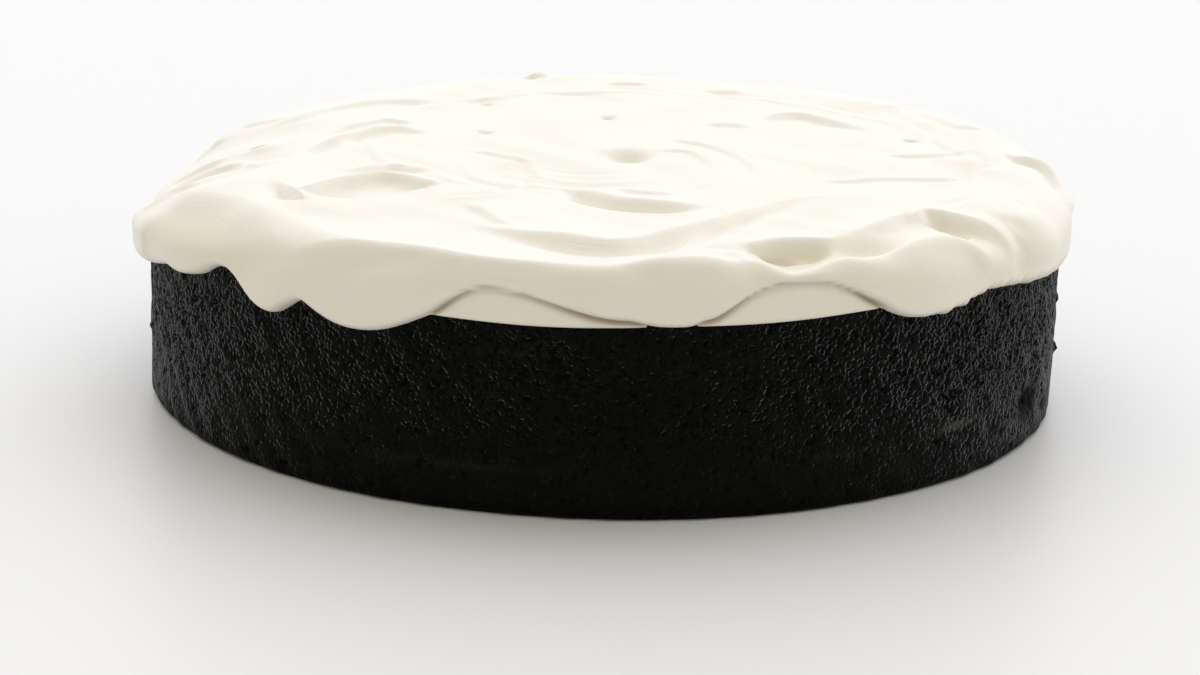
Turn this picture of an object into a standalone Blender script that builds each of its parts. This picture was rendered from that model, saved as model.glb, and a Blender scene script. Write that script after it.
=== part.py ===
"""A round dark chocolate cake under one thick coat of soft white frosting.

The frosting lies on top of the sponge, rolls over its edge and hangs down the side in uneven drips. Lengths
are in millimetres until a mesh is made. An angle is in degrees round the cake: 0 faces the front (-Y) and 90
faces the right (+X).
"""

import math
from collections import namedtuple

import bmesh
import bpy
import numpy as np

MM = 0.001

# The sponge is a single deep layer, baked in a 23 cm round tin.
TIN_RADIUS = 115.0
SPONGE_HEIGHT = 50.0
WALL_SPREAD = 0.009  # the tin opens by this much for each millimetre of height
FOOT_ROUND = 2.2
EDGE_ROUND = 2.4
SUNK_ANGLE = -95.0  # on the left the top edge has sunk, under the frosting,
SUNK_SPREAD = 28.0  # over about this many degrees each way,
SUNK_REACH = 27.0  # by this much inwards
SUNK_FALL = 8.0  # and this much down
WALL_WAVE = 0.3
SPONGE_SIDES = 96
WALL_ROWS = 6
ROUND_ROWS = 3

# The frosting's main form.
FROSTING_TOP = 60.0
LIP_LEVEL = 47.8  # where the upper layer's lip would hang if it had no drips
LIP_ROUND = 2.4
COAT_LEVEL = 46.4  # the thin first coat ends here, at the sponge's top edge
COAT_THICKNESS = 1.3
COAT_ROUND = 1.2
COAT_WAVES = ((0.6, 4.0, -1.1), (0.15, 13.0, 0.0))  # rise, waves round the cake and start of each
CREASE_DEPTH = 0.7  # the crease between the first coat and the upper layer's lip
CREASE_WIDTH = 0.8
SEAT_GAP = 0.3
LIP_TUCK = 4.0  # how far the blob's edge runs in under its lip, and
UNDERSIDE = 40.0  # the height of its underside in the middle: the seat cuts both away

# The frosting is skinned with this many cells along a quarter of its rim, then thinned out.
RIM_CELLS = 96
SKIRT_ROWS = 20
SKIRT_CROWDING = 1.5  # the rows crowd towards the lip by this power
KEPT_SHARE = 0.235

Shoulder = namedtuple("Shoulder", "angle reach fall radius fullness")
Lobe = namedtuple("Lobe", "angle before after rise fullness")
Ledge = namedtuple("Ledge", "path crest drop face back floor fade trail", defaults=(0,))
Fold = namedtuple("Fold", "path rise width fade")
Mound = namedtuple("Mound", "x y along across turn rise")

# How the edge rounds over at places round the cake: how far in it starts, how far it falls, its outermost
# radius and how full its curve is (2 is an ellipse, less is flatter).
SHOULDERS = (
    Shoulder(-180, 21, 11.2, 119.0, 1.90),
    Shoulder(-160, 26, 12.4, 118.7, 1.75),
    Shoulder(-140, 37, 12.2, 118.3, 1.80),
    Shoulder(-120, 40, 13.2, 118.0, 1.65),
    Shoulder(-105, 46, 16.0, 116.9, 1.40),
    Shoulder(-90, 50, 17.0, 116.9, 1.30),
    Shoulder(-78, 42, 15.2, 120.2, 1.50),
    Shoulder(-66, 28, 12.6, 121.0, 1.80),
    Shoulder(-44, 16, 10.5, 119.6, 1.90),
    Shoulder(-27, 6, 8.0, 118.9, 2.00),
    Shoulder(-10, 4.5, 7.0, 118.8, 2.00),
    Shoulder(12, 4.5, 7.0, 118.8, 2.00),
    Shoulder(24, 8.5, 8.0, 118.9, 2.00),
    Shoulder(35, 9, 8.0, 119.0, 2.00),
    Shoulder(60, 14, 10.0, 119.8, 2.00),
    Shoulder(75, 20, 11.0, 118.2, 1.90),
    Shoulder(95, 21, 10.8, 117.3, 1.85),
    Shoulder(120, 17, 7.4, 119.4, 2.15),
    Shoulder(140, 21, 7.0, 119.6, 2.10),
    Shoulder(160, 24, 11.2, 119.0, 1.85),
)

# Drips (down) and windows (up) of the lip, each with its reach in degrees before and after its middle.
LOBES = (
    Lobe(-104, 20, 20, -6.0, 2.5),
    Lobe(-81, 30, 36.4, -12.1, 1.7),
    Lobe(-57.7, 6.4, 6.1, -2.4, 3.0),
    Lobe(-41.2, 9.2, 5.6, -7.7, 2.0),
    Lobe(-29.3, 10.5, 12.6, -7.3, 2.3),
    Lobe(-13.0, 7.4, 15.4, 6.4, 1.8),
    Lobe(8.5, 6, 3, -1.5, 3.2),
    Lobe(21.6, 10.3, 12.9, 8.0, 2.6),
    Lobe(39.2, 7.5, 12.0, -4.0, 2.5),
    Lobe(84, 46, 30, -7.6, 1.6),
    Lobe(131, 12, 9, -6.0, 2.2),
    Lobe(149, 9, 12, 4.5, 2.0),
    Lobe(169, 10, 13, -7.0, 2.6),
    Lobe(197, 13, 8, -4.2, 2.2),
    Lobe(214, 7, 9, 5.0, 2.2),
    Lobe(232, 10, 10, -3.4, 2.4),
)

# Places below are on the frosting laid out flat: its side unrolls outwards past the top's edge.

# A ledge is a spatula's edge mark: a crest along its path, then a face that drops on the path's right. It
# fades in over its first few millimetres and out over its trail, or over as many again where it has none.
LEDGES = (
    # the long sweep across the front, which turns in towards the middle and thins out
    Ledge(((-33, -78), (-22, -83), (-10, -87), (-2, -92), (4, -92), (14, -82), (24, -70), (34, -57), (44, -46),
           (55, -39), (70, -36)), 1.1, 2.3, 7, 11, 9, 30, 125),
    # the crescent in front of the middle, and a thin line behind it
    Ledge(((-12, -38), (-4, -42), (2, -49), (8, -52), (16, -53), (25, -53)), 0.9, 2.0, 6, 6, 5, 14, 12),
    Ledge(((2, -39), (10, -41), (18, -42)), 0.3, 0.4, 2.5, 3, 3, 5),
    # the rim's crest along the front, on the left and then on the big middle lobe
    Ledge(((-76, -90), (-63, -96), (-54, -100), (-46, -103), (-35, -108), (-18, -113), (0, -114)),
          1.3, 0.4, 6, 8, 6, 22, 40),
    Ledge(((0, -114), (9, -113), (17, -112), (26, -110), (34, -107)), 2.2, 0.2, 7, 7, 5, 14),
    # the arched folds on the left, one behind the other
    Ledge(((-75, -51), (-68, -40), (-62, -34), (-56, -30), (-50, -31), (-41, -38)),
          0.9, 1.7, 5, 4, 14, 6, 3),
    Ledge(((-66, -29), (-58, -21), (-52, -19), (-44, -24)), 0.5, 0.7, 4, 4, 3, 8, 3),
    # the wedge where they meet the bulge
    Ledge(((-80, -38), (-77, -46), (-74, -53), (-72, -59)), 0.8, 2.1, 2.6, 3, 5, 14, 4),
    # the crest of the bulge on the left
    Ledge(((-108, -27), (-103, -33), (-97, -43), (-91, -50), (-85, -58), (-80, -70), (-76, -84),
           (-70, -94)), 0.5, 2.4, 11, 12, 36, 16),
    # the curled stroke over the left shoulder, and short strokes beside it
    Ledge(((-110, -2), (-105, 3), (-100, 6), (-95, 5), (-92, -2), (-89, -20)), 0.7, 0.5, 3, 4, 5, 5),
    Ledge(((-112, 9), (-104, 14), (-97, 15)), 0.6, 0.4, 2.5, 3, 4, 4),
    Ledge(((-113, -27), (-107, -18), (-99, -22)), 0.5, 0.4, 3, 4, 4, 4),
    # small strokes at the back left
    Ledge(((-110, 36), (-105, 43), (-99, 41)), 0.6, 0.3, 3, 4, 3, 3),
    Ledge(((-96, 50), (-90, 49), (-84, 43)), 0.5, 0.3, 3, 4, 3, 3),
    # the long shallow arc at the back left, and two hooked arcs inside it
    Ledge(((-87, 36), (-75, 50), (-60, 59), (-46, 60)), 0.5, 0.4, 3.5, 6, 5, 8),
    Ledge(((-80, -18), (-81, -4), (-77, 6), (-68, 14), (-60, 23), (-53, 25), (-47, 19)),
          0.6, 0.6, 4, 4, 5, 12, 4),
    Ledge(((-76, 14), (-70, 24), (-60, 33), (-50, 32)), 0.4, 0.4, 3, 4, 4, 8, 4),
    # the swipe that leaves over the rim on the right: the wall where it starts, then its far edge
    Ledge(((80, -80), (76, -72), (74, -62), (76, -55), (82, -56), (88, -61), (94, -67), (101, -74)),
          0.9, 3.8, 6, 5, 7, 8, 26),
    # the far edge of the pointed hollow beside it, and that hollow's steep far wall
    Ledge(((30, -92), (38, -86), (45, -84), (51, -84), (57, -78), (64, -68), (71, -56)),
          0.5, 1.6, 4.5, 4, 9, 6),
    Ledge(((31, -92), (38, -86.5), (45, -85), (53, -85.5)), 0.3, 2.4, 5, 3, 8, 4, 5),
    # the crests at the back right
    Ledge(((41, 45), (46, 52), (52, 54), (58, 49), (64, 42), (70, 34)), 0.8, 0.8, 4, 5, 4, 6, 16),
    Ledge(((72, 63), (77, 67), (82, 67), (87, 56), (93, 46), (99, 39)), 0.6, 0.5, 3, 5, 4, 14, 5),
    # the lip that curls over the right shoulder
    Ledge(((101, 19), (108, 16), (113, 12), (117, 4), (119, -6), (119, -15)), 1.9, 1.2, 4, 3, 5, 8, 8),
    # short marks in front on the left, behind the dimple and at the back
    Ledge(((-35, -59), (-30, -61), (-26, -70), (-22, -79)), 0.4, 0.5, 3, 3, 4, 5),
    Ledge(((25, 38), (32, 40), (38, 38)), 0.4, 0.5, 2.5, 3, 3, 4),
    Ledge(((-2, 89), (5, 91), (12, 90)), 0.3, 0.5, 2.5, 3, 3, 4),
    Ledge(((27, 82), (33, 83), (38, 81)), 0.3, 0.4, 2.5, 3, 3, 3),
)

# A fold is a soft ridge, or a groove where it falls: a groove under the front crest, the rim of the pointed
# hollow with the top of the lobe that follows it, and the crease before the last bulge on the right.
FOLDS = (
    Fold(((-68, -104), (-58, -106), (-48, -108), (-37, -111)), -0.7, 2.2, 8),
    Fold(((28, -96), (34, -107), (42, -111), (46, -109), (52, -102), (60, -99), (64, -93), (69, -89),
          (75, -84), (82, -79), (89, -79), (94, -81)), 1.3, 3.4, 6),
    Fold(((96, -54), (98, -61), (100, -67), (103, -74)), -0.9, 2.4, 5),
)

# Mounds and, where they fall, hollows: first the three hollows on the right and the dimple in the middle.
MOUNDS = (
    Mound(43, -99, 10, 10, -8, -3.3),
    Mound(62, -88, 7, 9, -20, -3.4),
    Mound(84, -69, 8, 8, 10, -1.0),
    Mound(5.5, -1, 5, 5.5, 0, -3.0),
    Mound(82, -22, 24, 12, 10, -0.6),
    Mound(77, -98, 13, 11, 35, 1.6),
    Mound(106, -54, 8, 12, 20, 1.8),
    Mound(-57, -117, 14, 9, 25, 1.6),
    Mound(-88, -98, 7, 12, 40, 1.0),
    Mound(-62, -76, 16, 10, 0, -0.8),
    Mound(-20, -24, 14, 18, 15, -0.6),
    Mound(-90, 14, 3.5, 4, 0, 0.8),
)

KEENNESS = 0.55  # how quickly a crest falls away behind, against the length it has for that
FACE_START = 0.12  # a face starts this far into its fall, which keeps the crest crisp
THIN_END = 0.35  # a face narrows to this share of its length where its ledge fades out
MOUND_FULLNESS = 1.3
THINNEST = 1.2  # a hollow leaves about this much frosting over the sponge

# Swipes that go on round the back, each an arc over the shoulder, placed by the golden angle.
BACK_SWIPES = 9
BACK_START = 100.0
BACK_SPAN = 165.0
GOLDEN_ANGLE = 137.5
GOLDEN_SHARE = 0.618
SWIPE_OUT = 99.0
SWIPE_BAND = 22.0
SWIPE_LENGTH = 24.0
SWIPE_LEAN = 7.0
SWIPE_SHAPE = (0.6, 0.7, 6, 8, 8, 9)  # crest, drop, face, back, floor and fade


def smooth(value):
    """0 below 0, 1 above 1, with a soft start and end between."""
    value = np.clip(value, 0.0, 1.0)
    return value * value * (3.0 - 2.0 * value)


def wrapped(angle):
    """The angle between -180 and 180 degrees."""
    return (np.asarray(angle, float) + 180.0) % 360.0 - 180.0


def shoulder_at(angle):
    """Reach, fall, radius and fullness of the frosting's shoulder at each angle."""
    ring = SHOULDERS + (SHOULDERS[0]._replace(angle=SHOULDERS[0].angle + 360),)
    stops = np.array([stop.angle for stop in ring], float)
    values = np.array([stop[1:] for stop in ring], float)
    angle = wrapped(angle)
    index = np.clip(np.searchsorted(stops, angle, side="right") - 1, 0, len(stops) - 2)
    share = smooth((angle - stops[index]) / (stops[index + 1] - stops[index]))[..., None]
    mixed = values[index] * (1.0 - share) + values[index + 1] * share
    return mixed[..., 0], mixed[..., 1], mixed[..., 2], mixed[..., 3]


def shoulder_arc(reach, fall):
    """Length down the shoulder's curve."""
    return 0.5 * math.pi * np.sqrt((reach**2 + fall**2) / 2.0)


def lip_height(angle):
    """Height of the upper layer's lip at each angle."""
    height = np.full(np.shape(angle), LIP_LEVEL)
    for lobe in LOBES:
        away = wrapped(angle - lobe.angle)
        share = np.abs(away) / np.where(away < 0, lobe.before, lobe.after)
        height = height + lobe.rise * np.clip(1.0 - share**lobe.fullness, 0.0, None) ** 2
    return height


def edge_round(angle):
    """How far in and down the sponge's top edge is rounded, and sunk on the left under the frosting."""
    sunk = np.exp(-((wrapped(angle - SUNK_ANGLE) / SUNK_SPREAD) ** 2))
    return EDGE_ROUND + SUNK_REACH * sunk, EDGE_ROUND + SUNK_FALL * sunk


def coat_height(angle):
    """Height of the first coat's edge at each angle."""
    turn = np.radians(angle)
    return COAT_LEVEL + sum(rise * np.sin(waves * turn + start) for rise, waves, start in COAT_WAVES)


def sponge_radius(angle, height):
    """Radius of the sponge's wall, with its slight waves."""
    turn = np.radians(angle)
    wave = 0.6 * np.sin(3.0 * turn + 0.7) + 0.4 * np.sin(8.0 * turn + height / 9.0)
    return TIN_RADIUS + WALL_SPREAD * height + WALL_WAVE * wave


def curve_through(points, steps=9):
    """A smooth line through the points (Catmull-Rom)."""
    points = np.array(points, float)
    ends = np.vstack([2 * points[0] - points[1], points, 2 * points[-1] - points[-2]])
    share = np.linspace(0.0, 1.0, steps, endpoint=False)[:, None]
    line = []
    for a, b, c, d in zip(ends[:-3], ends[1:-2], ends[2:-1], ends[3:]):
        line.append(0.5 * (2 * b + (c - a) * share + (2 * a - 5 * b + 4 * c - d) * share**2
                           + (3 * b - a - 3 * c + d) * share**3))
    return np.vstack(line + [points[-1:]])


def beside(x, y, path):
    """Signed distance from the path, positive on its left, and the length along it from either end."""
    line = curve_through(path)
    steps = np.diff(line, axis=0)
    lengths = np.hypot(steps[:, 0], steps[:, 1])
    before = np.concatenate([[0.0], np.cumsum(lengths)])
    nearest = np.full(x.shape, np.inf)
    signed = np.zeros(x.shape)
    along = np.zeros(x.shape)
    for start, step, length, run in zip(line[:-1], steps, lengths, before[:-1]):
        dx = x - start[0]
        dy = y - start[1]
        share = np.clip((dx * step[0] + dy * step[1]) / length**2, 0.0, 1.0)
        gap = np.hypot(dx - share * step[0], dy - share * step[1])
        closer = gap < nearest
        side = np.sign(step[0] * dy - step[1] * dx)
        nearest = np.where(closer, gap, nearest)
        signed = np.where(closer, gap * side, signed)
        along = np.where(closer, run + share * length, along)
    return signed, along, before[-1] - along


def add_ledge(x, y, ledge):
    """Relief of one ledge: up gently to its crest, down over its face and out over its floor."""
    signed, run, left = beside(x, y, ledge.path)
    strength = smooth(run / ledge.fade) * smooth(left / (ledge.trail or ledge.fade))
    below = -signed
    length = ledge.face * (THIN_END + (1.0 - THIN_END) * strength)
    slope = ledge.crest * np.exp(-np.abs(signed) / (KEENNESS * ledge.back))
    share = FACE_START + (1.0 - FACE_START) * np.clip(below / length, 0.0, 1.0)
    fallen = smooth(share) - smooth(FACE_START)
    face = ledge.crest - (ledge.crest + ledge.drop) * fallen
    floor = -ledge.drop * (1.0 - smooth((below - length) / ledge.floor))
    return strength * np.where(signed > 0, slope, np.where(below < length, face, floor))


def add_fold(x, y, fold):
    """Relief of one soft ridge or groove."""
    signed, run, left = beside(x, y, fold.path)
    strength = smooth(run / fold.fade) * smooth(left / fold.fade)
    return strength * fold.rise * np.exp(-((signed / fold.width) ** 2))


def add_mound(x, y, mound):
    """Relief of one oval mound or hollow."""
    turn = math.radians(mound.turn)
    dx = x - mound.x
    dy = y - mound.y
    along = (dx * math.cos(turn) + dy * math.sin(turn)) / mound.along
    across = (dy * math.cos(turn) - dx * math.sin(turn)) / mound.across
    return mound.rise * np.exp(-((along**2 + across**2) ** MOUND_FULLNESS))


def back_swipes():
    """Ledges that carry the spatula's marks round the back, as arcs that lean in or out."""
    swipes = []
    for number in range(BACK_SWIPES):
        angle = math.radians(BACK_START + (number * GOLDEN_ANGLE) % BACK_SPAN)
        out = SWIPE_OUT + SWIPE_BAND * ((number * GOLDEN_SHARE) % 1.0)
        lean = SWIPE_LEAN * math.cos(number)
        path = []
        for share in (-1.0, 0.0, 1.0):
            turn = angle + share * SWIPE_LENGTH / out
            reach = out + share * lean
            path.append((reach * math.sin(turn), -reach * math.cos(turn)))
        swipes.append(Ledge(tuple(path), *SWIPE_SHAPE))
    return swipes


def relief(x, y):
    """How far the strokes raise the frosting at places on the laid-out surface."""
    height = np.zeros(np.shape(x))
    for ledge in LEDGES + tuple(back_swipes()):
        height = height + add_ledge(x, y, ledge)
    for fold in FOLDS:
        height = height + add_fold(x, y, fold)
    for mound in MOUNDS:
        height = height + add_mound(x, y, mound)
    return height


def rolled(share):
    """Quarter-round profile of a lip: 0 at its edge, 1 once it is full."""
    return np.sqrt(1.0 - (1.0 - np.clip(share, 0.0, 1.0)) ** 2)


def frosting_point(angle, laid_out):
    """Place on the frosting's skin at an angle and a laid-out radius, as x, y and z."""
    angle = np.asarray(angle, float)
    reach, fall, radius, fullness = shoulder_at(angle)
    flat = radius - reach
    arc = shoulder_arc(reach, fall)
    past = laid_out - flat
    turn = np.clip(past / arc, 0.0, 1.0) * 0.5 * math.pi
    bend = 2.0 / fullness
    out = np.where(past < 0, laid_out, flat + reach * np.sin(turn) ** bend)
    fallen = fall * (1.0 - np.clip(np.cos(turn), 0.0, 1.0) ** bend) + np.clip(past - arc, 0.0, None)
    height = FROSTING_TOP - fallen
    lean = np.stack([fall * np.sin(turn), reach * np.cos(turn)])
    lean = lean / np.hypot(lean[0], lean[1])
    compass = np.radians(angle)
    raised = relief(laid_out * np.sin(compass), -laid_out * np.cos(compass))
    spare = lean[0] * (out - sponge_radius(angle, height)) + lean[1] * (height - SPONGE_HEIGHT) - THINNEST
    spare = np.clip(spare, THINNEST, None)
    raised = np.where(raised < 0, spare * np.tanh(raised / spare), raised)
    out = out + raised * lean[0]
    height = height + raised * lean[1]
    wall = sponge_radius(angle, height)
    upper = wall + (out - wall) * rolled((height - lip_height(angle)) / LIP_ROUND)
    tucked = CREASE_DEPTH * np.exp(-(((height - lip_height(angle)) / CREASE_WIDTH) ** 2))
    coat = wall + COAT_THICKNESS * rolled((height - coat_height(angle)) / COAT_ROUND) - tucked
    out = np.where(out > wall, np.maximum(upper, np.minimum(coat, out)), out)
    return np.stack([out * np.sin(compass), -out * np.cos(compass), height], axis=-1)


def disc_grid(cells):
    """Square grid bent into a disc: radius share and angle of each corner, row by row."""
    axis = np.linspace(-1.0, 1.0, cells + 1)
    a, b = np.meshgrid(axis, axis, indexing="ij")
    wide = np.abs(a) > np.abs(b)
    share = np.where(wide, np.abs(a), np.abs(b))
    safe_a = np.where(a == 0, 1.0, a)
    safe_b = np.where(b == 0, 1.0, b)
    turn = np.where(wide, 45.0 * b / safe_a, 90.0 - 45.0 * a / safe_b)
    turn = np.where(wide & (a < 0) | ~wide & (b < 0), turn + 180.0, turn)
    return share, turn


def rim_order(cells):
    """Grid corners along the rim, in one round, as row and column."""
    last = cells
    order = [(last, column) for column in range(0, last)]
    order += [(row, last) for row in range(last, 0, -1)]
    order += [(0, column) for column in range(last, 0, -1)]
    order += [(row, 0) for row in range(0, last)]
    return order


def frosting_skin():
    """Vertices and faces of the frosting's blob: top, skirt down to the lip, and a closed underside."""
    share, angle = disc_grid(RIM_CELLS)
    reach, fall, radius, _ = shoulder_at(angle)
    arc = shoulder_arc(reach, fall)
    points = frosting_point(angle, share * (radius - reach + arc))
    count = RIM_CELLS + 1
    faces = []
    for row in range(RIM_CELLS):
        for column in range(RIM_CELLS):
            corner = row * count + column
            faces.append((corner, corner + count, corner + count + 1, corner + 1))
    points = points.reshape(-1, 3)
    rim = np.array([row * count + column for row, column in rim_order(RIM_CELLS)])
    rim_angle = angle.reshape(-1)[rim]
    reach, fall, radius, _ = shoulder_at(rim_angle)
    arc = shoulder_arc(reach, fall)
    top = radius - reach + arc
    end = np.minimum(lip_height(rim_angle), coat_height(rim_angle))
    depth = FROSTING_TOP - fall - end
    previous = rim
    for row in range(1, SKIRT_ROWS + 1):
        share = 1.0 - (1.0 - row / SKIRT_ROWS) ** SKIRT_CROWDING
        ring = frosting_point(rim_angle, top + share * depth)
        if row == SKIRT_ROWS:
            inner = sponge_radius(rim_angle, end) - LIP_TUCK
            compass = np.radians(rim_angle)
            ring = np.stack([inner * np.sin(compass), -inner * np.cos(compass), end], axis=-1)
        current = len(points) + np.arange(len(rim))
        points = np.vstack([points, ring])
        for a, b, c, d in zip(previous, np.roll(previous, -1), np.roll(current, -1), current):
            faces.append((a, d, c, b))
        previous = current
    points = np.vstack([points, [[0.0, 0.0, UNDERSIDE]]])
    middle = len(points) - 1
    for a, b in zip(previous, np.roll(previous, -1)):
        faces.append((a, middle, b))
    return points, faces


def sponge_skin(gap=0.0):
    """Vertices and faces of the sponge, or of the seat it needs with a gap all round."""
    angles = np.arange(SPONGE_SIDES) * 360.0 / SPONGE_SIDES
    compass = np.radians(angles)
    reach, fall = edge_round(angles)
    turns = np.radians(np.linspace(0.0, 90.0, ROUND_ROWS + 1))
    outline = []
    for turn in turns:
        rise = FOOT_ROUND * (1.0 - math.cos(turn))
        outline.append((FOOT_ROUND * (1.0 - math.sin(turn)), np.full(SPONGE_SIDES, rise)))
    for share in np.linspace(0.0, 1.0, WALL_ROWS + 1)[1:-1]:
        outline.append((0.0, FOOT_ROUND + share * (SPONGE_HEIGHT - fall - FOOT_ROUND)))
    for turn in turns:
        outline.append((reach * (1.0 - math.cos(turn)), SPONGE_HEIGHT - fall * (1.0 - math.sin(turn))))
    rings = []
    for inset, height in outline:
        out = sponge_radius(angles, height) - inset + gap
        level = np.where(height > SPONGE_HEIGHT / 2, height + gap, height)
        rings.append(np.stack([out * np.sin(compass), -out * np.cos(compass), level], axis=-1))
    points = np.vstack(rings)
    faces = []
    for row in range(len(rings) - 1):
        low = row * SPONGE_SIDES + np.arange(SPONGE_SIDES)
        high = low + SPONGE_SIDES
        for a, b, c, d in zip(low, np.roll(low, -1), np.roll(high, -1), high):
            faces.append((a, b, c, d))
    faces.append(tuple(range(SPONGE_SIDES - 1, -1, -1)))
    faces.append(tuple(range(len(points) - SPONGE_SIDES, len(points))))
    return points, faces


def mesh_object(name, points, faces):
    """A smooth-shaded object from points in millimetres."""
    mesh = bpy.data.meshes.new(name)
    corners = [tuple(point) for point in np.asarray(points) * MM]
    mesh.from_pydata(corners, [], [tuple(map(int, face)) for face in faces])
    work = bmesh.new()
    work.from_mesh(mesh)
    bmesh.ops.recalc_face_normals(work, faces=work.faces)
    work.to_mesh(mesh)
    work.free()
    mesh.shade_smooth()
    made = bpy.data.objects.new(name, mesh)
    bpy.context.scene.collection.objects.link(made)
    return made


def finish(name, color, roughness):
    """A material of one colour and roughness."""
    material = bpy.data.materials.new(name)
    material.use_nodes = True
    shader = material.node_tree.nodes["Principled BSDF"]
    shader.inputs["Base Color"].default_value = (*color, 1.0)
    shader.inputs["Roughness"].default_value = roughness
    shader.inputs["Metallic"].default_value = 0.0
    return material


def make_sponge():
    """The dark sponge: one solid round, a little rounded at its foot and top edge."""
    sponge = mesh_object("sponge", *sponge_skin())
    sponge.data.materials.append(finish("dark_sponge", (0.020, 0.015, 0.012), 0.8))
    return sponge


def make_frosting():
    """The white frosting: a blob with the spatula's marks, seated on the sponge."""
    frosting = mesh_object("frosting", *frosting_skin())
    frosting.data.materials.append(finish("white_frosting", (0.86, 0.82, 0.73), 0.35))
    thin = frosting.modifiers.new("Thin out", "DECIMATE")
    thin.ratio = KEPT_SHARE
    seat = mesh_object("frosting_seat", *sponge_skin(SEAT_GAP))
    seat.hide_render = True
    seat.display_type = "WIRE"
    cut = frosting.modifiers.new("Seat on the sponge", "BOOLEAN")
    cut.operation = "DIFFERENCE"
    cut.solver = "EXACT"
    cut.object = seat
    return frosting


def build():
    """Clears the scene and makes the cake."""
    for old in list(bpy.data.objects):
        bpy.data.objects.remove(old, do_unlink=True)
    make_sponge()
    make_frosting()


build()
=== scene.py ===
# %% [markdown]
# # A dark chocolate cake under soft white frosting
#
# This lesson dresses a finished cake model for a photograph. The solids of the cake come from a
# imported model, the frame, and are never moved. Each visible surface is made here as a finer mesh in
# the same place, with a procedural material. Lengths are in millimetres until a mesh is made, and
# an angle goes round the cake: 0 degrees faces the front (-Y) and 90 degrees faces the right (+X).

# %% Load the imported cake
import math
from collections import namedtuple

import bpy
import numpy as np
from mathutils import Euler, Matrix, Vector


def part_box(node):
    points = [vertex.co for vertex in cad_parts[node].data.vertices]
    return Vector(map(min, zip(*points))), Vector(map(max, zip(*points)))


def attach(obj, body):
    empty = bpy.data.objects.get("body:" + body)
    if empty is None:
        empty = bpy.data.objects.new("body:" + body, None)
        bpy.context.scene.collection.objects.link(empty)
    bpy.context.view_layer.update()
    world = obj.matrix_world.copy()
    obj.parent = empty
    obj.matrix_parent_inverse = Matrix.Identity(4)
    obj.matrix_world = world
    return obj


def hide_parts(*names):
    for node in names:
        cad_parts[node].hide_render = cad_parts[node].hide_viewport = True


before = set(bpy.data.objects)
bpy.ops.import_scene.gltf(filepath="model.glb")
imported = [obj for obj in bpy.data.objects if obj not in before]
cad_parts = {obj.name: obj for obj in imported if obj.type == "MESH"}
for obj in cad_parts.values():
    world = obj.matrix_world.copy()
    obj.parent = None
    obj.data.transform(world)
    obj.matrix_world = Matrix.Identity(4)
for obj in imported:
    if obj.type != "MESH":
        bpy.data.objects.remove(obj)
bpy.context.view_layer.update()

MM = 0.001
sponge_low, sponge_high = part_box("sponge")
SPONGE_HEIGHT = sponge_high.z / MM
TIN_RADIUS = 115.0
print("sponge", [round(v / MM, 1) for v in sponge_high - sponge_low], "mm")

# %% [markdown]
# ## The camera
#
# The photograph was taken with a long lens, a little above the cake. A camera can be placed by eye
# and nudged until it matches, or worked out from something of known form. Here the round foot and
# the upright sides gave its place: about 90 cm away and 26 cm up, tipped down and rolled a little.

# %% Place the camera
CAMERA_BACK = 894.0
CAMERA_UP = 260.0
CAMERA_ASIDE = -0.7
LENS = 108.0  # on Blender's 36 mm wide sensor
TIP_DOWN = 15.53
ROLL = 1.44

camera_data = bpy.data.cameras.new("camera")
camera_data.lens = LENS
camera_data.clip_start = 0.05
camera_data.clip_end = 40.0
camera = bpy.data.objects.new("camera", camera_data)
bpy.context.scene.collection.objects.link(camera)
camera.location = (CAMERA_ASIDE * MM, -CAMERA_BACK * MM, CAMERA_UP * MM)
looking = Euler((math.radians(90.0 - TIP_DOWN), 0.0, 0.0)).to_matrix()
camera.rotation_euler = (looking @ Euler((0.0, 0.0, math.radians(ROLL))).to_matrix()).to_euler()
bpy.context.scene.camera = camera
print("camera at", [round(v, 3) for v in camera.location], "m")

# %% [markdown]
# ## Light and floor
#
# The photograph is bright all over, with most of its light from above and behind, so what faces up
# is nearly white and what faces the camera is a warm cream. Lamps alone would give hard edges. A
# world that is bright behind and above, and dimmer and warmer in front, acts as one huge soft box
# and needs no lamp at all.

# %% Set the light
BACK_LIGHT = (1.55, 1.56, 1.62)
FRONT_LIGHT = (0.595, 0.565, 0.49)
LIGHT_ELEVATION = math.radians(30.0)
LIGHT_ASIDE = math.radians(14.0)  # to the right of straight behind
LIGHT_START = 0.15
LIGHT_FULL = 0.9

bpy.context.scene.view_settings.view_transform = "Standard"


def new_nodes(tree):
    """Clears a node tree and returns short calls to add and to join nodes."""
    tree.nodes.clear()

    def add(kind, **values):
        node = tree.nodes.new(kind)
        for name, value in values.items():
            setattr(node, name, value)
        return node

    return add, tree.links.new


world = bpy.data.worlds.new("soft room")
world.use_nodes = True
bpy.context.scene.world = world
add, join = new_nodes(world.node_tree)
direction = add("ShaderNodeTexCoord")
toward = add("ShaderNodeVectorMath", operation="DOT_PRODUCT")
flat = math.cos(LIGHT_ELEVATION)
brightest = (flat * math.sin(LIGHT_ASIDE), flat * math.cos(LIGHT_ASIDE), math.sin(LIGHT_ELEVATION))
toward.inputs[1].default_value = brightest
join(direction.outputs["Generated"], toward.inputs[0])
blend = add("ShaderNodeMapRange", interpolation_type="SMOOTHSTEP")
blend.inputs["From Min"].default_value = LIGHT_START
blend.inputs["From Max"].default_value = LIGHT_FULL
join(toward.outputs["Value"], blend.inputs["Value"])
room = add("ShaderNodeMix", data_type="RGBA")
room.inputs["A"].default_value = (*FRONT_LIGHT, 1.0)
room.inputs["B"].default_value = (*BACK_LIGHT, 1.0)
join(blend.outputs["Result"], room.inputs["Factor"])
glow = add("ShaderNodeBackground")
join(room.outputs["Result"], glow.inputs["Color"])
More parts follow.
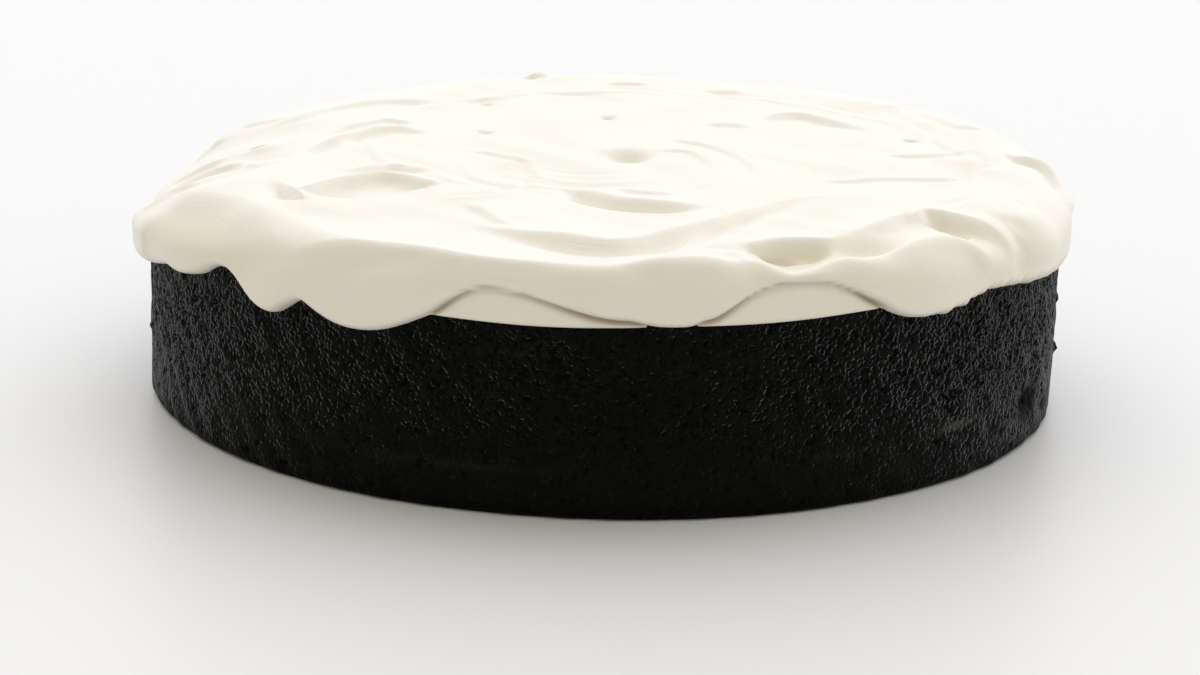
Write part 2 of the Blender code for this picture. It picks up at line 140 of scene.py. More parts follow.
join(glow.outputs["Background"], add("ShaderNodeOutputWorld").inputs["Surface"])

FLOOR_SIZE = 8.0
FLOOR_PALE = (0.90, 0.90, 0.905)
FLOOR_ROUGHNESS = 0.45

floor_mesh = bpy.data.meshes.new("floor")
half = FLOOR_SIZE / 2
corners = [(-half, -half, 0), (half, -half, 0), (half, half, 0), (-half, half, 0)]
floor_mesh.from_pydata(corners, [], [(0, 1, 2, 3)])
floor = bpy.data.objects.new("floor", floor_mesh)
bpy.context.scene.collection.objects.link(floor)
floor_finish = bpy.data.materials.new("pale floor")
floor_finish.use_nodes = True
floor_shader = floor_finish.node_tree.nodes["Principled BSDF"]
floor_shader.inputs["Base Color"].default_value = (*FLOOR_PALE, 1.0)
floor_shader.inputs["Roughness"].default_value = FLOOR_ROUGHNESS
floor.data.materials.append(floor_finish)
print("floor", FLOOR_SIZE, "m wide")

# %% [markdown]
# ## Curves and distances
#
# A spatula leaves marks along its path. To shape them, each point of the frosting needs to know how
# far it lies from a path and on which side. A curve object could be sampled for this. A few lines
# of array code are faster, and give the distance for all points at once.

# %% Curves and distances


def smooth(value):
    """0 below 0, 1 above 1, with a soft start and end between."""
    value = np.clip(value, 0.0, 1.0)
    return value * value * (3.0 - 2.0 * value)


def wrapped(angle):
    """The angle between -180 and 180 degrees."""
    return (np.asarray(angle, float) + 180.0) % 360.0 - 180.0


def curve_through(points, steps=9):
    """A smooth line through the points (Catmull-Rom)."""
    points = np.array(points, float)
    ends = np.vstack([2 * points[0] - points[1], points, 2 * points[-1] - points[-2]])
    share = np.linspace(0.0, 1.0, steps, endpoint=False)[:, None]
    line = []
    for a, b, c, d in zip(ends[:-3], ends[1:-2], ends[2:-1], ends[3:]):
        line.append(0.5 * (2 * b + (c - a) * share + (2 * a - 5 * b + 4 * c - d) * share**2
                           + (3 * b - a - 3 * c + d) * share**3))
    return np.vstack(line + [points[-1:]])


def beside(x, y, path):
    """Signed distance from the path, positive on its left, and the length run along it from either end."""
    line = curve_through(path)
    steps = np.diff(line, axis=0)
    lengths = np.hypot(steps[:, 0], steps[:, 1])
    before = np.concatenate([[0.0], np.cumsum(lengths)])
    nearest = np.full(x.shape, np.inf)
    signed = np.zeros(x.shape)
    along = np.zeros(x.shape)
    for start, step, length, run in zip(line[:-1], steps, lengths, before[:-1]):
        dx = x - start[0]
        dy = y - start[1]
        share = np.clip((dx * step[0] + dy * step[1]) / length**2, 0.0, 1.0)
        gap = np.hypot(dx - share * step[0], dy - share * step[1])
        closer = gap < nearest
        side = np.sign(step[0] * dy - step[1] * dx)
        nearest = np.where(closer, gap, nearest)
        signed = np.where(closer, gap * side, signed)
        along = np.where(closer, run + share * length, along)
    return signed, along, before[-1] - along


corner = curve_through(((0.0, 0.0), (10.0, 0.0), (10.0, 10.0)))
print("a bend through 3 places is drawn with", len(corner), "points")

# %% [markdown]
# ## The frosting's main form
#
# The frosting was heaped on top and pushed over the edge. Its shoulder is crisp in front and round
# and heavy at the sides. Two coats show: a thin first coat that ends level with the sponge's top
# edge, and the thick upper layer, whose lip hangs down in drips and stays up in two windows.
# Sculpting would work too. A rule for each angle keeps the form true to measured places.

# %% Main form
FROSTING_TOP = 60.0
LIP_LEVEL = 47.8
LIP_ROUND = 2.4
SIDE_ROUND = 3.0
SIDE_KEENNESS = 12
COAT_LEVEL = 46.4
COAT_THICKNESS = 1.3
COAT_ROUND = 1.2
COAT_WAVES = ((0.6, 4.0, -1.1), (0.15, 13.0, 0.0))
CREASE_DEPTH = 1.0
CREASE_WIDTH = 0.8
WALL_SPREAD = 0.009
WALL_WAVE = 0.3
EDGE_ROUND = 2.4
SUNK_ANGLE = -95.0
SUNK_SPREAD = 28.0
SUNK_REACH = 27.0
SUNK_FALL = 8.0

Shoulder = namedtuple("Shoulder", "angle reach fall radius fullness")
Lobe = namedtuple("Lobe", "angle before after rise fullness")

SHOULDERS = (
    Shoulder(-180, 21, 11.2, 119.0, 1.90),
    Shoulder(-160, 26, 12.4, 118.7, 1.75),
    Shoulder(-140, 37, 12.2, 118.3, 1.80),
    Shoulder(-120, 40, 13.2, 118.0, 1.65),
    Shoulder(-105, 46, 16.0, 116.9, 1.40),
    Shoulder(-90, 50, 17.0, 116.9, 1.30),
    Shoulder(-78, 42, 15.2, 120.2, 1.50),
    Shoulder(-66, 28, 12.6, 121.0, 1.80),
    Shoulder(-44, 16, 10.5, 119.6, 1.90),
    Shoulder(-27, 6, 8.0, 118.9, 2.00),
    Shoulder(-10, 4.5, 7.0, 118.8, 2.00),
    Shoulder(12, 4.5, 7.0, 118.8, 2.00),
    Shoulder(24, 8.5, 8.0, 118.9, 2.00),
    Shoulder(35, 9, 8.0, 119.0, 2.00),
    Shoulder(60, 14, 10.0, 119.8, 2.00),
    Shoulder(75, 20, 11.0, 118.2, 1.90),
    Shoulder(95, 21, 10.8, 117.3, 1.85),
    Shoulder(120, 17, 7.4, 119.4, 2.15),
    Shoulder(140, 21, 7.0, 119.6, 2.10),
    Shoulder(160, 24, 11.2, 119.0, 1.85),
)
LOBES = (
    Lobe(-104, 20, 20, -6.0, 2.5),
    Lobe(-81, 30, 36.4, -12.1, 1.7),
    Lobe(-57.7, 6.4, 6.1, -2.4, 3.0),
    Lobe(-41.2, 9.2, 5.6, -7.7, 2.0),
    Lobe(-29.3, 10.5, 12.6, -7.3, 2.3),
    Lobe(-13.0, 7.4, 15.4, 6.4, 1.8),
    Lobe(8.5, 6, 3, -1.5, 3.2),
    Lobe(21.6, 10.3, 12.9, 8.0, 2.6),
    Lobe(39.2, 7.5, 12.0, -4.0, 2.5),
    Lobe(84, 46, 30, -7.6, 1.6),
    Lobe(131, 12, 9, -6.0, 2.2),
    Lobe(149, 9, 12, 4.5, 2.0),
    Lobe(169, 10, 13, -7.0, 2.6),
    Lobe(197, 13, 8, -4.2, 2.2),
    Lobe(214, 7, 9, 5.0, 2.2),
    Lobe(232, 10, 10, -3.4, 2.4),
)


def shoulder_at(angle):
    """Reach, fall, radius and fullness of the frosting's shoulder at each angle."""
    ring = SHOULDERS + (SHOULDERS[0]._replace(angle=SHOULDERS[0].angle + 360),)
    stops = np.array([stop.angle for stop in ring], float)
    values = np.array([stop[1:] for stop in ring], float)
    angle = wrapped(angle)
    index = np.clip(np.searchsorted(stops, angle, side="right") - 1, 0, len(stops) - 2)
    share = smooth((angle - stops[index]) / (stops[index + 1] - stops[index]))[..., None]
    mixed = values[index] * (1.0 - share) + values[index + 1] * share
    return mixed[..., 0], mixed[..., 1], mixed[..., 2], mixed[..., 3]


def shoulder_arc(reach, fall):
    """Length down the shoulder's curve."""
    return 0.5 * math.pi * np.sqrt((reach**2 + fall**2) / 2.0)


def lip_height(angle):
    """Height of the upper layer's lip at each angle."""
    height = np.full(np.shape(angle), LIP_LEVEL)
    for lobe in LOBES:
        away = wrapped(angle - lobe.angle)
        share = np.abs(away) / np.where(away < 0, lobe.before, lobe.after)
        height = height + lobe.rise * np.clip(1.0 - share**lobe.fullness, 0.0, None) ** 2
    return height


def lip_round(angle):
    """How far up the lip is rounded: it is heavier at the cake's two sides."""
    return LIP_ROUND + SIDE_ROUND * np.abs(np.sin(np.radians(angle))) ** SIDE_KEENNESS


def edge_round(angle):
    """How far in and down the sponge's top edge is rounded, and sunk on the left under the frosting."""
    sunk = np.exp(-((wrapped(angle - SUNK_ANGLE) / SUNK_SPREAD) ** 2))
    return EDGE_ROUND + SUNK_REACH * sunk, EDGE_ROUND + SUNK_FALL * sunk


def coat_height(angle):
    """Height of the first coat's edge at each angle."""
    turn = np.radians(angle)
    return COAT_LEVEL + sum(rise * np.sin(waves * turn + start) for rise, waves, start in COAT_WAVES)


def sponge_radius(angle, height):
    """Radius of the sponge's wall, with its slight waves."""
    turn = np.radians(angle)
    wave = 0.6 * np.sin(3.0 * turn + 0.7) + 0.4 * np.sin(8.0 * turn + height / 9.0)
    return TIN_RADIUS + WALL_SPREAD * height + WALL_WAVE * wave


print("lip in front at", round(float(lip_height(0.0)), 1), "mm")
print("sponge", round(2.0 * float(sponge_radius(0.0, 0.0)), 1), "mm across its foot")

# %% [markdown]
# ## The spatula's strokes
#
# The top is all strokes: crescents, a swipe that leaves over the rim, a pointed hollow and a dimple
# in the middle. Painting them by hand in sculpt mode is one way. Here each is a curve on the
# laid-out frosting with a few sizes. A ledge is the mark of the spatula's edge: it climbs to a crest,
# falls over a face on the right of its path and runs out. Such marks are real relief, so they cast
# their own shadows.

# %% The strokes, read off the photograph
Ledge = namedtuple("Ledge", "path crest drop face back floor fade trail", defaults=(0,))
Fold = namedtuple("Fold", "path rise width fade")
Mound = namedtuple("Mound", "x y along across turn rise")

LEDGES = (
    # the long sweep across the front, which turns in towards the middle and thins out
    Ledge(((-33, -78), (-22, -83), (-10, -87), (-2, -92), (4, -92), (14, -82), (24, -70), (34, -57),
           (44, -46), (55, -39), (70, -36)), 1.1, 2.3, 7, 11, 9, 30, 125),
    # the crescent in front of the middle, and a thin line behind it
    Ledge(((-12, -38), (-4, -42), (2, -49), (8, -52), (16, -53), (25, -53)), 0.9, 2.0, 6, 6, 5, 14, 12),
    Ledge(((2, -39), (10, -41), (18, -42)), 0.3, 0.4, 2.5, 3, 3, 5),
    # the rim's crest along the front, on the left and then on the big middle lobe
    Ledge(((-76, -90), (-63, -96), (-54, -100), (-46, -103), (-35, -108), (-18, -113), (0, -114)),
          1.3, 0.4, 6, 8, 6, 22, 40),
    Ledge(((0, -114), (9, -113), (17, -112), (26, -110), (34, -107)), 2.2, 0.2, 7, 7, 5, 14),
    # the arched folds on the left, one behind the other
    Ledge(((-75, -51), (-68, -40), (-62, -34), (-56, -30), (-50, -31), (-41, -38)),
          0.9, 1.7, 5, 4, 14, 6, 3),
    Ledge(((-66, -29), (-58, -21), (-52, -19), (-44, -24)), 0.5, 0.7, 4, 4, 3, 8, 3),
    # the wedge where they meet the bulge
    Ledge(((-80, -38), (-77, -46), (-74, -53), (-72, -59)), 0.8, 2.1, 2.6, 3, 5, 14, 4),
    # the crest of the bulge on the left
    Ledge(((-108, -27), (-103, -33), (-97, -43), (-91, -50), (-85, -58), (-80, -70), (-76, -84), (-70, -94)),
          0.5, 2.4, 11, 12, 36, 16),
    # the curled stroke over the left shoulder, and short strokes beside it
    Ledge(((-110, -2), (-105, 3), (-100, 6), (-95, 5), (-92, -2), (-89, -20)), 0.7, 0.5, 3, 4, 5, 5),
    Ledge(((-112, 9), (-104, 14), (-97, 15)), 0.6, 0.4, 2.5, 3, 4, 4),
    Ledge(((-113, -27), (-107, -18), (-99, -22)), 0.5, 0.4, 3, 4, 4, 4),
    # small strokes at the back left
    Ledge(((-110, 36), (-105, 43), (-99, 41)), 0.6, 0.3, 3, 4, 3, 3),
    Ledge(((-96, 50), (-90, 49), (-84, 43)), 0.5, 0.3, 3, 4, 3, 3),
    # the long shallow arc at the back left, and two hooked arcs inside it
    Ledge(((-87, 36), (-75, 50), (-60, 59), (-46, 60)), 0.5, 0.4, 3.5, 6, 5, 8),
    Ledge(((-80, -18), (-81, -4), (-77, 6), (-68, 14), (-60, 23), (-53, 25), (-47, 19)),
          0.6, 0.6, 4, 4, 5, 12, 4),
    Ledge(((-76, 14), (-70, 24), (-60, 33), (-50, 32)), 0.4, 0.4, 3, 4, 4, 8, 4),
    # the swipe that leaves over the rim on the right: the wall where it starts, then its far edge
    Ledge(((80, -80), (76, -72), (74, -62), (76, -55), (82, -56), (88, -61), (94, -67), (101, -74)),
          0.9, 3.8, 6, 5, 7, 8, 26),
    # the far edge of the pointed hollow beside it, and that hollow's steep far wall
    Ledge(((30, -92), (38, -86), (45, -84), (51, -84), (57, -78), (64, -68), (71, -56)),
          0.5, 1.6, 4.5, 4, 9, 6),
    Ledge(((31, -92), (38, -86.5), (45, -85), (53, -85.5)), 0.3, 2.4, 5, 3, 8, 4, 5),
    # the crests at the back right
    Ledge(((41, 45), (46, 52), (52, 54), (58, 49), (64, 42), (70, 34)), 0.8, 0.8, 4, 5, 4, 6, 16),
    Ledge(((72, 63), (77, 67), (82, 67), (87, 56), (93, 46), (99, 39)), 0.6, 0.5, 3, 5, 4, 14, 5),
    # the lip that curls over the right shoulder
    Ledge(((101, 19), (108, 16), (113, 12), (117, 4), (119, -6), (119, -15)), 1.9, 1.2, 4, 3, 5, 8, 8),
    # short marks in front on the left, behind the dimple and at the back
    Ledge(((-35, -59), (-30, -61), (-26, -70), (-22, -79)), 0.4, 0.5, 3, 3, 4, 5),
    Ledge(((25, 38), (32, 40), (38, 38)), 0.4, 0.5, 2.5, 3, 3, 4),
    Ledge(((-2, 89), (5, 91), (12, 90)), 0.3, 0.5, 2.5, 3, 3, 4),
    Ledge(((27, 82), (33, 83), (38, 81)), 0.3, 0.4, 2.5, 3, 3, 3),
)

# A fold is a soft ridge, or a groove where it falls: a groove under the front crest, the rim of the pointed
# hollow with the top of the lobe that follows it, and the crease before the last bulge on the right.
FOLDS = (
    Fold(((-68, -104), (-58, -106), (-48, -108), (-37, -111)), -0.7, 2.2, 8),
    Fold(((28, -96), (34, -107), (42, -111), (46, -109), (52, -102), (60, -99), (64, -93), (69, -89),
          (75, -84), (82, -79), (89, -79), (94, -81)), 1.3, 3.4, 6),
    Fold(((96, -54), (98, -61), (100, -67), (103, -74)), -0.9, 2.4, 5),
)

# Mounds and, where they fall, hollows: first the three hollows on the right and the dimple in the middle.
MOUNDS = (
    Mound(43, -99, 10, 10, -8, -3.3),
    Mound(62, -88, 7, 9, -20, -3.4),
    Mound(84, -69, 8, 8, 10, -1.0),
    Mound(5.5, -1, 5, 5.5, 0, -3.0),
    Mound(82, -22, 24, 12, 10, -0.6),
    Mound(77, -98, 13, 11, 35, 1.6),
    Mound(106, -54, 8, 12, 20, 1.8),
    Mound(-57, -117, 14, 9, 25, 1.6),
    Mound(-88, -98, 7, 12, 40, 1.0),
    Mound(-62, -76, 16, 10, 0, -0.8),
    Mound(-20, -24, 14, 18, 15, -0.6),
    Mound(-90, 14, 3.5, 4, 0, 0.8),
)

# Lower strokes that only show close by: arcs round the dimple, a slack curl on the left and single lines.
SMALL_STROKES = (
    ((11, 5), (21, 6), (27, -10), (26, -27), (20, -38)),
    ((15, 20), (27, 13), (36, -4), (38, -20)),
    ((-27, -21), (-22, -6), (-18, -17), (-16, -30), (-21, -41), (-28, -49), (-40, -54)),
    ((-37, 0), (-30, -1), (-21, -7), (-18, -12)),
    ((16, -100), (20, -84), (26, -73), (34, -61), (44, -50)),
    ((70, 7), (83, 8), (96, 16)),
    ((52, -24), (70, -18), (90, -16)),
    ((98, -33), (103, -42), (102, -56)),
    ((93, -48), (96, -58), (104, -67)),
)
SMALL_SHAPE = (0.28, 0.28, 2.6, 3.0, 3, 7)

# Air holes, each an x and a y, and the little peak at the back.
AIR_HOLES = ((-33, 58), (-32, 22), (0, 44), (79, 25), (-91, 15), (-22, 97))
HOLE_SIZE = 1.5
HOLE_DEPTH = -1.3
PEAK = Mound(-20, 100, 3.2, 2.2, 0, 1.5)

print(len(LEDGES), "ledges,", len(FOLDS), "folds and", len(MOUNDS), "mounds")
print(len(SMALL_STROKES), "small strokes")

# %% [markdown]
# ## From strokes to relief
#
# A spatula turned over the cake leaves dozens of faint marks besides the strong ones. Those are
# drawn by rule: they circle the middle, spaced by the golden angle, so that no two line up. The
# strong and the faint marks are added up to one relief, and a soft limit keeps every hollow above
# the sponge.

# %% Relief of the strokes
KEENNESS = 0.55  # how quickly a crest falls away behind, against the length it has for that
FACE_START = 0.12  # a face starts this far into its fall, which keeps the crest crisp
THIN_END = 0.35
MOUND_FULLNESS = 1.3
THINNEST = 1.2  # a hollow leaves about this much frosting over the sponge
BACK_SWIPES = 9
BACK_START = 100.0
BACK_SPAN = 165.0
GOLDEN_ANGLE = 137.5
GOLDEN_SHARE = 0.618
SWIPE_OUT = 99.0
SWIPE_BAND = 22.0
SWIPE_LENGTH = 24.0
SWIPE_LEAN = 7.0
SWIPE_SHAPE = (0.6, 0.7, 6, 8, 8, 9)  # crest, drop, face, back, floor and fade
FAINT_MARKS = 54
FAINT_OUT = (17.0, 104.0)
FAINT_LENGTH = (9.0, 26.0)
FAINT_RISE = (0.10, 0.26)
FAINT_STEPS = (0.382, 0.734)  # steps through the range of lengths and of rises
FAINT_LEAN = 4.0
FAINT_SHAPE = (2.6, 3.5, 4)  # face, back and floor
WAVE_RISE = 0.16


def add_ledge(x, y, ledge):
    """Relief of one ledge: up gently to its crest, down over its face and out over its floor."""
    signed, run, left = beside(x, y, ledge.path)
    strength = smooth(run / ledge.fade) * smooth(left / (ledge.trail or ledge.fade))
    below = -signed
    length = ledge.face * (THIN_END + (1.0 - THIN_END) * strength)
    slope = ledge.crest * np.exp(-np.abs(signed) / (KEENNESS * ledge.back))
    share = FACE_START + (1.0 - FACE_START) * np.clip(below / length, 0.0, 1.0)
    fallen = smooth(share) - smooth(FACE_START)
    face = ledge.crest - (ledge.crest + ledge.drop) * fallen
    floor = -ledge.drop * (1.0 - smooth((below - length) / ledge.floor))
    return strength * np.where(signed > 0, slope, np.where(below < length, face, floor))


def add_fold(x, y, fold):
    """Relief of one soft ridge or groove."""
    signed, run, left = beside(x, y, fold.path)
    strength = smooth(run / fold.fade) * smooth(left / fold.fade)
    return strength * fold.rise * np.exp(-((signed / fold.width) ** 2))


def add_mound(x, y, mound):
    """Relief of one oval mound or hollow."""
    turn = math.radians(mound.turn)
    dx = x - mound.x
    dy = y - mound.y
    along = (dx * math.cos(turn) + dy * math.sin(turn)) / mound.along
    across = (dy * math.cos(turn) - dx * math.sin(turn)) / mound.across
    return mound.rise * np.exp(-((along**2 + across**2) ** MOUND_FULLNESS))


def back_swipes():
    """Ledges that carry the spatula's marks round the back, as arcs that lean in or out."""
    swipes = []
    for number in range(BACK_SWIPES):
        angle = math.radians(BACK_START + (number * GOLDEN_ANGLE) % BACK_SPAN)
        out = SWIPE_OUT + SWIPE_BAND * ((number * GOLDEN_SHARE) % 1.0)
        lean = SWIPE_LEAN * math.cos(number)
        path = []
        for share in (-1.0, 0.0, 1.0):
            turn = angle + share * SWIPE_LENGTH / out
            reach = out + share * lean
            path.append((reach * math.sin(turn), -reach * math.cos(turn)))
        swipes.append(Ledge(tuple(path), *SWIPE_SHAPE))
    return swipes


def faint_marks():
    """Low ledges in arcs round the middle, spaced by the golden angle and turned either way."""
    marks = []
    for number in range(FAINT_MARKS):
        angle = math.radians(number * GOLDEN_ANGLE)
        share = (number * GOLDEN_SHARE) % 1.0
        out = FAINT_OUT[0] + (FAINT_OUT[1] - FAINT_OUT[0]) * math.sqrt(share)
        half = FAINT_LENGTH[0] + (FAINT_LENGTH[1] - FAINT_LENGTH[0]) * ((number * FAINT_STEPS[0]) % 1.0)
        rise = FAINT_RISE[0] + (FAINT_RISE[1] - FAINT_RISE[0]) * ((number * FAINT_STEPS[1]) % 1.0)
        way = 1 if number % 2 else -1
        path = []
        for step in (-1.0, 0.0, 1.0):
            turn = angle + way * step * half / out
            reach = out + step * FAINT_LEAN * math.sin(number)
            path.append((reach * math.sin(turn), -reach * math.cos(turn)))
        marks.append(Ledge(tuple(path), rise, rise, *FAINT_SHAPE, half))
    return marks


def waves(x, y):
    """Slow, low waves that leave no part of the top quite flat."""
    swell = np.sin(x / 6.1 + 1.7 * np.sin(y / 17.0)) * np.sin(y / 8.3 + 1.3 * np.sin(x / 21.0) + 0.8)
    return WAVE_RISE * (swell + 0.5 * np.sin((x + 0.6 * y) / 3.4 + 2.0 * np.sin(y / 11.0)))


SMALL_LEDGES = tuple(Ledge(path, *SMALL_SHAPE) for path in SMALL_STROKES)
ALL_LEDGES = LEDGES + SMALL_LEDGES + tuple(back_swipes()) + tuple(faint_marks())
HOLES = tuple(Mound(x, y, HOLE_SIZE, HOLE_SIZE, 0, HOLE_DEPTH) for x, y in AIR_HOLES)


def relief(x, y):
    """How far the strokes raise the frosting at places on the laid-out surface."""
    height = waves(x, y)
    for ledge in ALL_LEDGES:
        height = height + add_ledge(x, y, ledge)
    for fold in FOLDS:
        height = height + add_fold(x, y, fold)
    for mound in MOUNDS + HOLES + (PEAK,):
        height = height + add_mound(x, y, mound)
    return height


print(len(ALL_LEDGES), "ledges in all")

# %% [markdown]
# ## One skin
#
# The frosting's skin follows from an angle and a distance out: over the top, round the shoulder,
# then straight down to the lip. The relief pushes it out along its own slope. Under the lip lies
# the first coat, and a crease parts the two. On the right the lip has picked up crumbs and is
# frayed.

# %% A point on the skin
FRAY_RISE = 0.35
FRAY_FROM = 36.0
FRAY_TO = 84.0
FRAY_FADE = 8.0


def frayed_lip(angle):
    """Height of the lip with its frayed part on the right."""
    angle = wrapped(angle)
    where = smooth((angle - FRAY_FROM) / FRAY_FADE) * smooth((FRAY_TO - angle) / FRAY_FADE)
    teeth = np.sin(3.7 * angle) + 0.7 * np.sin(5.9 * angle + 1.3) + 0.6 * np.sin(1.9 * angle + 0.4)
    return lip_height(angle) + FRAY_RISE * where * teeth


def rolled(share):
    """Quarter-round profile of a lip: 0 at its edge, 1 once it is full."""
    return np.sqrt(1.0 - (1.0 - np.clip(share, 0.0, 1.0)) ** 2)


def frosting_point(angle, laid_out):
    """Place on the frosting's skin at an angle and a laid-out radius, as x, y and z."""
    angle = np.asarray(angle, float)
    reach, fall, radius, fullness = shoulder_at(angle)
    flat = radius - reach
    arc = shoulder_arc(reach, fall)
    past = laid_out - flat
    turn = np.clip(past / arc, 0.0, 1.0) * 0.5 * math.pi
    bend = 2.0 / fullness
    out = np.where(past < 0, laid_out, flat + reach * np.sin(turn) ** bend)
    fallen = fall * (1.0 - np.clip(np.cos(turn), 0.0, 1.0) ** bend) + np.clip(past - arc, 0.0, None)
    height = FROSTING_TOP - fallen
    lean = np.stack([fall * np.sin(turn), reach * np.cos(turn)])
    lean = lean / np.hypot(lean[0], lean[1])
    compass = np.radians(angle)
    raised = relief(laid_out * np.sin(compass), -laid_out * np.cos(compass))
    spare = lean[0] * (out - sponge_radius(angle, height)) + lean[1] * (height - SPONGE_HEIGHT) - THINNEST
    spare = np.clip(spare, THINNEST, None)
    raised = np.where(raised < 0, spare * np.tanh(raised / spare), raised)
    out = out + raised * lean[0]
    height = height + raised * lean[1]
    wall = sponge_radius(angle, height)
    lip = frayed_lip(angle)
    upper = wall + (out - wall) * rolled((height - lip) / lip_round(angle))
    tucked = CREASE_DEPTH * np.exp(-(((height - lip) / CREASE_WIDTH) ** 2))
    coat = wall + COAT_THICKNESS * rolled((height - coat_height(angle)) / COAT_ROUND) - tucked
    out = np.where(out > wall, np.maximum(upper, np.minimum(coat, out)), out)
    return np.stack([out * np.sin(compass), -out * np.cos(compass), height], axis=-1)


crescent_floor = frosting_point(np.array([0.0]), np.array([56.0]))[0]
print("the crescent's floor is at", round(float(crescent_floor[2]), 1), "mm")

# %% [markdown]
# ## The frosting's mesh
#
# A fan of triangles would pinch in the middle, just where the dimple sits. So the top is a square
# grid bent into a disc, which has even cells all over. Rows of a skirt go on from its rim down to
# the lip and close under it.

# %% Frosting mesh
RIM_CELLS = 236
SKIRT_ROWS = 36
SKIRT_CROWDING = 1.5
LIP_TUCK = 1.0  # the frosting's hidden side lies this far inside the sponge
SEAT_ROWS = 5


def disc_grid(cells):
    """Square grid bent into a disc: radius share and angle of each corner, row by row."""
    axis = np.linspace(-1.0, 1.0, cells + 1)
    a, b = np.meshgrid(axis, axis, indexing="ij")
    wide = np.abs(a) > np.abs(b)
    share = np.where(wide, np.abs(a), np.abs(b))
    safe_a = np.where(a == 0, 1.0, a)
    safe_b = np.where(b == 0, 1.0, b)
    turn = np.where(wide, 45.0 * b / safe_a, 90.0 - 45.0 * a / safe_b)
    turn = np.where(wide & (a < 0) | ~wide & (b < 0), turn + 180.0, turn)
    return share, turn


def rim_order(cells):
    """Grid corners along the rim, in one round, as row and column."""
    last = cells
    order = [(last, column) for column in range(0, last)]
    order += [(row, last) for row in range(last, 0, -1)]
    order += [(0, column) for column in range(last, 0, -1)]
    order += [(row, 0) for row in range(0, last)]
    return order


def frosting_skin():
    """Vertices and faces of the frosting: top, skirt down to the lip, and the side on the sponge."""
    share, angle = disc_grid(RIM_CELLS)
    reach, fall, radius, _ = shoulder_at(angle)
    arc = shoulder_arc(reach, fall)
    laid_out = share * (radius - reach + arc)
    points = frosting_point(angle, laid_out)
    turn = np.radians(angle)
    places = [np.stack([laid_out * np.sin(turn), -laid_out * np.cos(turn)], axis=-1).reshape(-1, 2)]
    count = RIM_CELLS + 1
    corner = (np.arange(RIM_CELLS)[:, None] * count + np.arange(RIM_CELLS)[None, :]).reshape(-1)
    quads = [np.stack([corner, corner + count, corner + count + 1, corner + 1], axis=-1)]
    points = points.reshape(-1, 3)
    rim = np.array([row * count + column for row, column in rim_order(RIM_CELLS)])
    rim_angle = angle.reshape(-1)[rim]
    reach, fall, radius, _ = shoulder_at(rim_angle)
    arc = shoulder_arc(reach, fall)
    top = radius - reach + arc
    end = np.minimum(frayed_lip(rim_angle), coat_height(rim_angle))
    depth = FROSTING_TOP - fall - end
    compass = np.radians(rim_angle)
    previous = rim
    for row in range(1, SKIRT_ROWS + 1):
        share = 1.0 - (1.0 - row / SKIRT_ROWS) ** SKIRT_CROWDING
        ring = frosting_point(rim_angle, top + share * depth)
        if row == SKIRT_ROWS:
            inner = sponge_radius(rim_angle, end) - LIP_TUCK
            ring = np.stack([inner * np.sin(compass), -inner * np.cos(compass), end], axis=-1)
        current = len(points) + np.arange(len(rim))
        points = np.vstack([points, ring])
        out = top + share * depth
        places.append(np.stack([out * np.sin(compass), -out * np.cos(compass)], axis=-1))
        quads.append(np.stack([previous, current, np.roll(current, -1), np.roll(previous, -1)], axis=-1))
        previous = current
    reach, fall = edge_round(rim_angle)
    for share in np.linspace(0.0, 1.0, SEAT_ROWS)[1:]:
        level = SPONGE_HEIGHT - LIP_TUCK - fall + share * fall
        turn = np.arcsin(np.clip(share, 0.0, 1.0))
        inner = sponge_radius(rim_angle, level) - LIP_TUCK - reach * (1.0 - np.cos(turn))
        ring = np.stack([inner * np.sin(compass), -inner * np.cos(compass), level], axis=-1)
        current = len(points) + np.arange(len(rim))
        points = np.vstack([points, ring])
        places.append(places[-1])
        quads.append(np.stack([previous, current, np.roll(current, -1), np.roll(previous, -1)], axis=-1))
        previous = current
    return points, np.vstack(quads), current[::-1], np.vstack(places)


def mesh_piece(name, points, quads, caps):
    """An object from points in millimetres, four-sided faces and a few many-sided caps."""
    mesh = bpy.data.meshes.new(name)
    faces = quads.tolist() + [list(map(int, cap)) for cap in caps]
    mesh.from_pydata((points * MM).tolist(), [], faces)
    mesh.shade_smooth()
    mesh.validate()
    made = bpy.data.objects.new(name, mesh)
    bpy.context.scene.collection.objects.link(made)
    return made


points, quads, cap, places = frosting_skin()
frosting = mesh_piece("frosting_coat", points, quads, [cap])
print("frosting", len(points), "points", len(quads), "faces")

# %% [markdown]
# ## What the finish needs to know
#
# Beside each stroke the spatula's worn edge combs fine lines into the frosting, too fine for the
# mesh. The material can draw them if each point of the mesh tells how far across and along the
# nearest stroke it lies. Hollows and the crease under the lip get painted shade: their colour is
# made yellower and darker, standing in for shade and warm bounced light. Both are stored on the
# mesh. Image textures would need painting and unwrapping instead.

# %% Combing lines, and painted shade in hollows and creases
COMB_REACH = 13.0
COMB_BARE = 2.4  # no lines this close to where two strokes part
COMB_PARTING = 3.5
COMB_FADE = 9.0
COMB_SHIFT = 37.0  # how far the pattern shifts from one stroke to the next
# painted shade in hollows: it starts at this depth of relief and is full at the next
HOLLOW_SHADE_START = 0.4
HOLLOW_SHADE_FULL = 4.5
# painted shade under the lip: how far it reaches below and above the lip, how it fades at a window's ends,
# and how much paler it is where a window is tall
CREASE_SHADE = 1.3
CREASE_SHADE_CRISP = 0.5
CREASE_SHADE_ENDS = 6.0
CREASE_SHADE_LOSS = 0.6  # where the window is tall the crease is paler by this share
WINDOW_LOW = 2.0  # a window at least this tall counts as tall,
WINDOW_START = 1.2  # and a crease is full once its window is this tall
COMB_EDGE = 1.4


